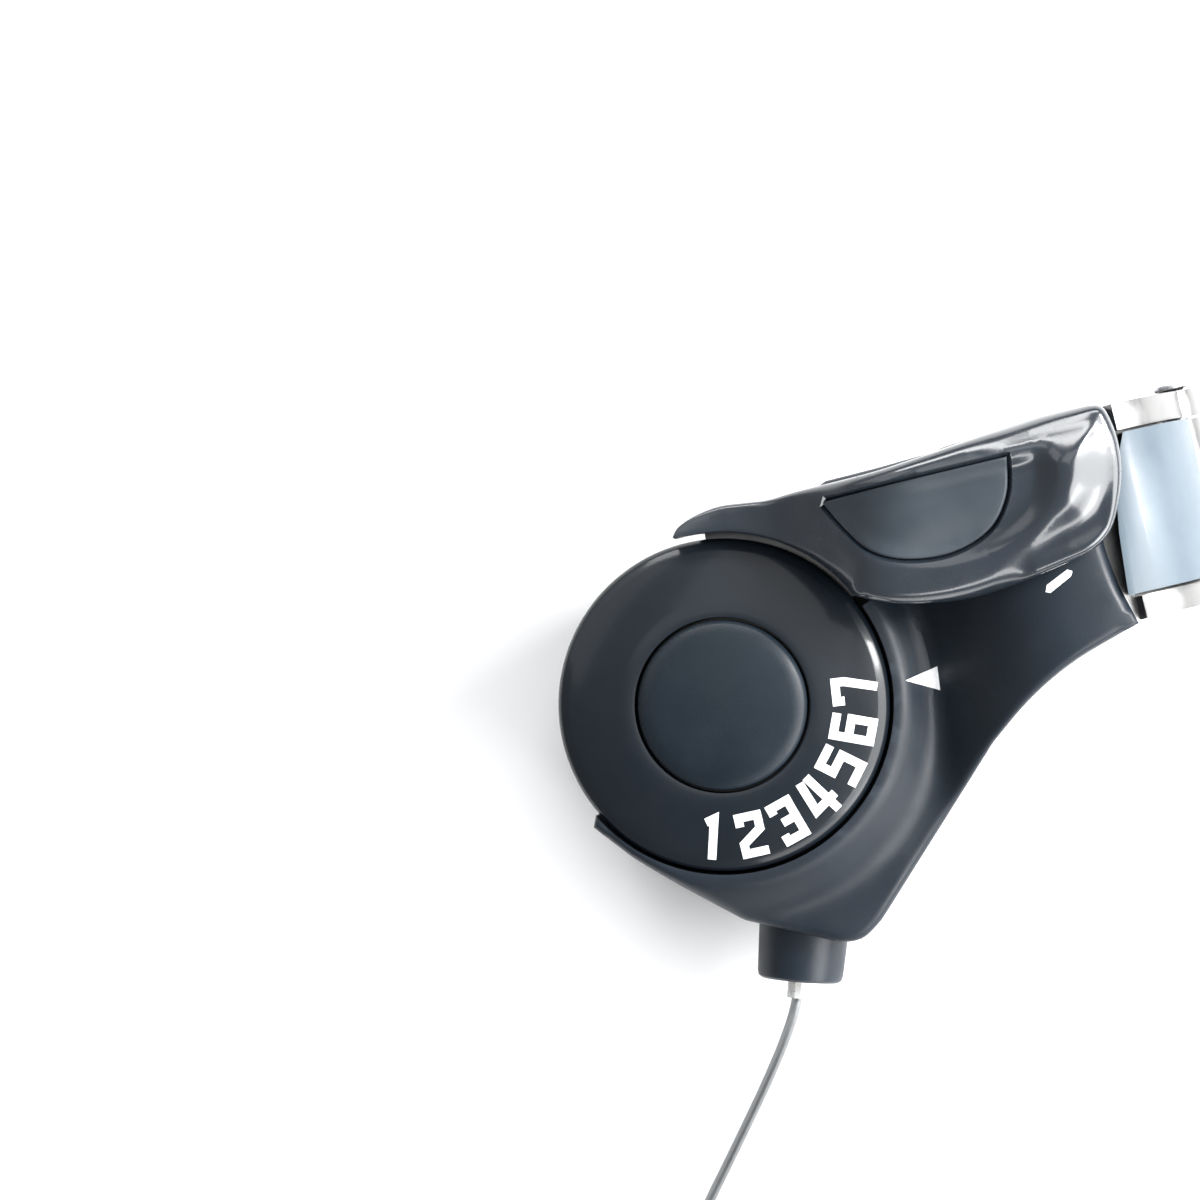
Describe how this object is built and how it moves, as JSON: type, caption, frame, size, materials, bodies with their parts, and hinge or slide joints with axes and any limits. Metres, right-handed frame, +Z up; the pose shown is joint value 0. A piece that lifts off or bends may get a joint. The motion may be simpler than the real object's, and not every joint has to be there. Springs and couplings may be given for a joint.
{
  "type": "thumb shifter",
  "caption": "Right-hand top-mounted indexed thumb shifter: round numbered dial, long paddle lever, arm to a hinged handlebar clamp, and a free inner cable.",
  "frame": {"origin": "centre of the underside of the shifter's own box, the free cable left out; the dial's axis is at X -19.52 mm, Y +5.52 mm", "axes": "+Z up along the dial's axis, +X from the dial towards the handlebar clamp, +Y along the handlebar, away from the cable outlet"},
  "size_m": [0.0957, 0.1125, 0.0385],
  "materials": {
    "black_plastic": "satin moulded nylon, bluish black",
    "lever_plastic": "satin to gloss moulded nylon",
    "pad_rubber": "satin soft plastic",
    "dial_plastic": "fine-grained moulded plastic",
    "grey_plastic": "satin grey-blue plastic",
    "nylon": "plain nylon",
    "clear_plastic": "translucent tube",
    "tie_plastic": "black twist tie",
    "steel": "turned or stamped steel",
    "zinc_steel": "bright zinc-plated steel",
    "screw_steel": "plated fastener steel",
    "cable_steel": "drawn stainless strand",
    "cap_aluminium": "plain crimped aluminium",
    "brass": "turned brass"
  },
  "bodies": {
    "root": {"housing": "black_plastic", "base_cover": "black_plastic", "cover_screw_1": "screw_steel", "cover_screw_2": "screw_steel", "cover_screw_3": "screw_steel", "pivot_axle": "steel", "thrust_washer": "nylon", "pivot_screw": "screw_steel", "detent_sleeve": "brass", "detent_spring": "steel", "detent_plug": "screw_steel", "clamp_bracket": "zinc_steel", "saddle_screw_1": "screw_steel", "saddle_screw_2": "screw_steel", "clamp_pad": "grey_plastic", "hinge_pin": "screw_steel", "clamp_nut": "screw_steel", "cable_stop": "brass", "cable_liner": "clear_plastic", "cable_run": "cable_steel", "inner_cable": "cable_steel", "cable_coil": "cable_steel", "coil_tie": "tie_plastic", "cable_end_cap": "cap_aluminium"},
    "lever": {"shift_lever": "lever_plastic", "thumb_pad": "pad_rubber", "number_dial": "dial_plastic", "dial_cap": "dial_plastic", "cable_drum": "nylon", "index_plate": "steel", "cable_head": "steel", "cable_wrap": "cable_steel", "hub_bushing": "brass", "wave_washer": "steel", "top_washer": "steel"},
    "ball": {"detent_ball": "steel"},
    "band": {"clamp_band": "zinc_steel"},
    "bolt": {"clamp_bolt": "screw_steel", "bolt_washer": "screw_steel"}
  },
  "joints": [
    {"name": "lever_turn", "type": "hinge", "parent": "root", "child": "lever", "pos_m": [-0.01952, 0.00552, 0.0165], "axis": [0, 0, 1], "range_deg": [0, 100.8]},
    {"name": "ball_travel", "type": "slide", "parent": "root", "child": "ball", "axis": [0.6157, -0.788, 0], "range_m": [0, 0.0006], "stiffness_N_per_m": 150},
    {"name": "band_hinge", "type": "hinge", "parent": "root", "child": "band", "pos_m": [0.03508, 0.01552, 0.016], "axis": [0, -1, 0], "range_deg": [0, 7]},
    {"name": "bolt_slack", "type": "slide", "parent": "root", "child": "bolt", "axis": [0, 0, -1], "range_m": [0, 0.0042]}
  ],
  "couplings": [
    {"joint": "band_hinge", "follows": "bolt_slack", "rad_per_m": 29.089}
  ]
}
